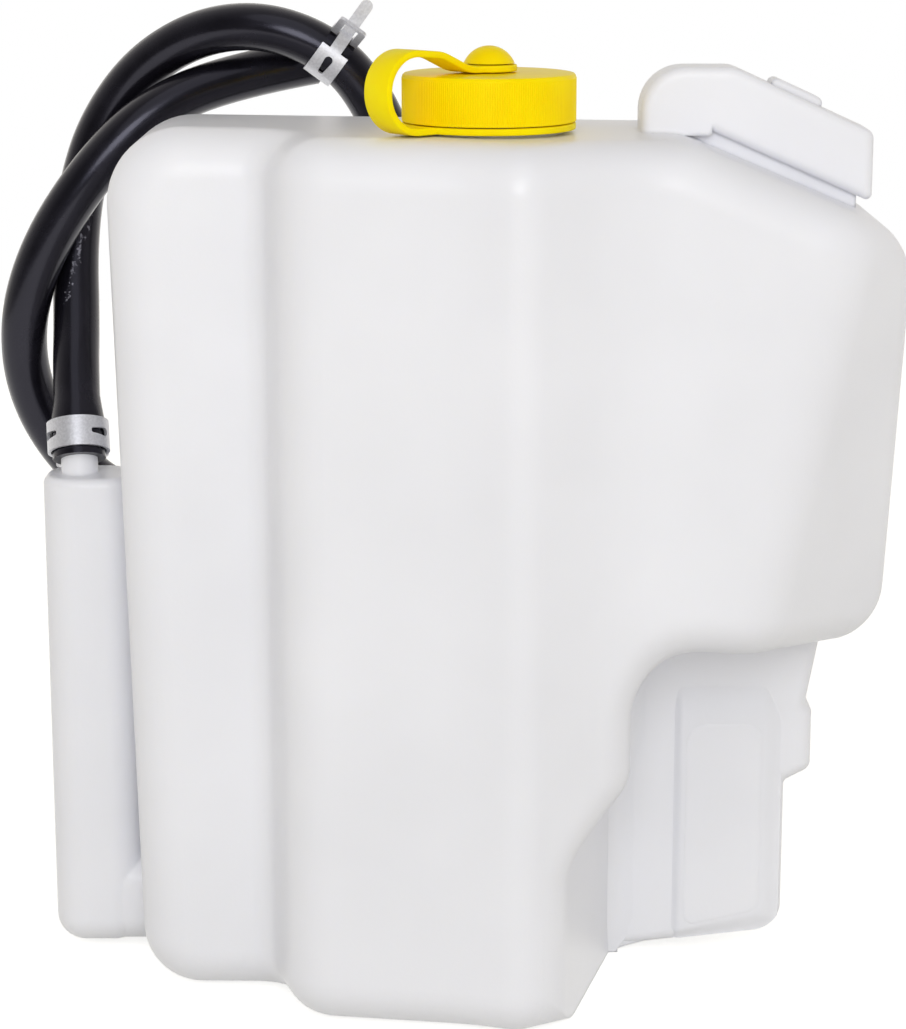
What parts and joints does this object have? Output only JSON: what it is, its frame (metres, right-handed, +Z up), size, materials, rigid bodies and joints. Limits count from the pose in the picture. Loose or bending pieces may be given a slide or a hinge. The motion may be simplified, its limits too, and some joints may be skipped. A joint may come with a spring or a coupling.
{
  "type": "coolant expansion tank",
  "caption": "Hollow blow-moulded coolant expansion tank with a faceted front, side siphon leg, mount rail, tethered yellow screw cap and looped black overflow hose held by spring clamps.",
  "frame": {"origin": "middle of the tank's bounding box in X and Y, on the floor that the tank stands on", "axes": "+Z up; +Y from the faceted front to the flat back; +X from the siphon leg to the lobe, to the viewer's right"},
  "size_m": [0.2573, 0.1282, 0.2764],
  "materials": {
    "tank_plastic": "satin translucent polyethylene",
    "cap_plastic": "satin",
    "strap_plastic": "satin flexible",
    "gasket_rubber": "matte",
    "hose_rubber": "satin",
    "clamp_steel": "zinc flake coat"
  },
  "bodies": {
    "tank": {"tank": "tank_plastic", "tether_strap": "strap_plastic", "overflow_hose": "hose_rubber", "lower_hose_clamp": "clamp_steel", "upper_hose_clamp": "clamp_steel"},
    "button": {"tether_button": "cap_plastic"},
    "cap": {"filler_cap": "cap_plastic", "cap_gasket": "gasket_rubber"}
  },
  "joints": [
    {"name": "cap_lift", "type": "slide", "parent": "tank", "child": "button", "axis": [0, 0, 1], "range_m": [0, 0.0081], "deforming": ["tether_strap"]},
    {"name": "cap_turn", "type": "hinge", "parent": "button", "child": "cap", "pos_m": [0.00662, -0.00058, 0.2471], "axis": [0, 0, 1], "range_deg": [0, 720]}
  ],
  "couplings": [
    {"joint": "cap_lift", "follows": "cap_turn", "m_per_rad": 0.00063662}
  ]
}
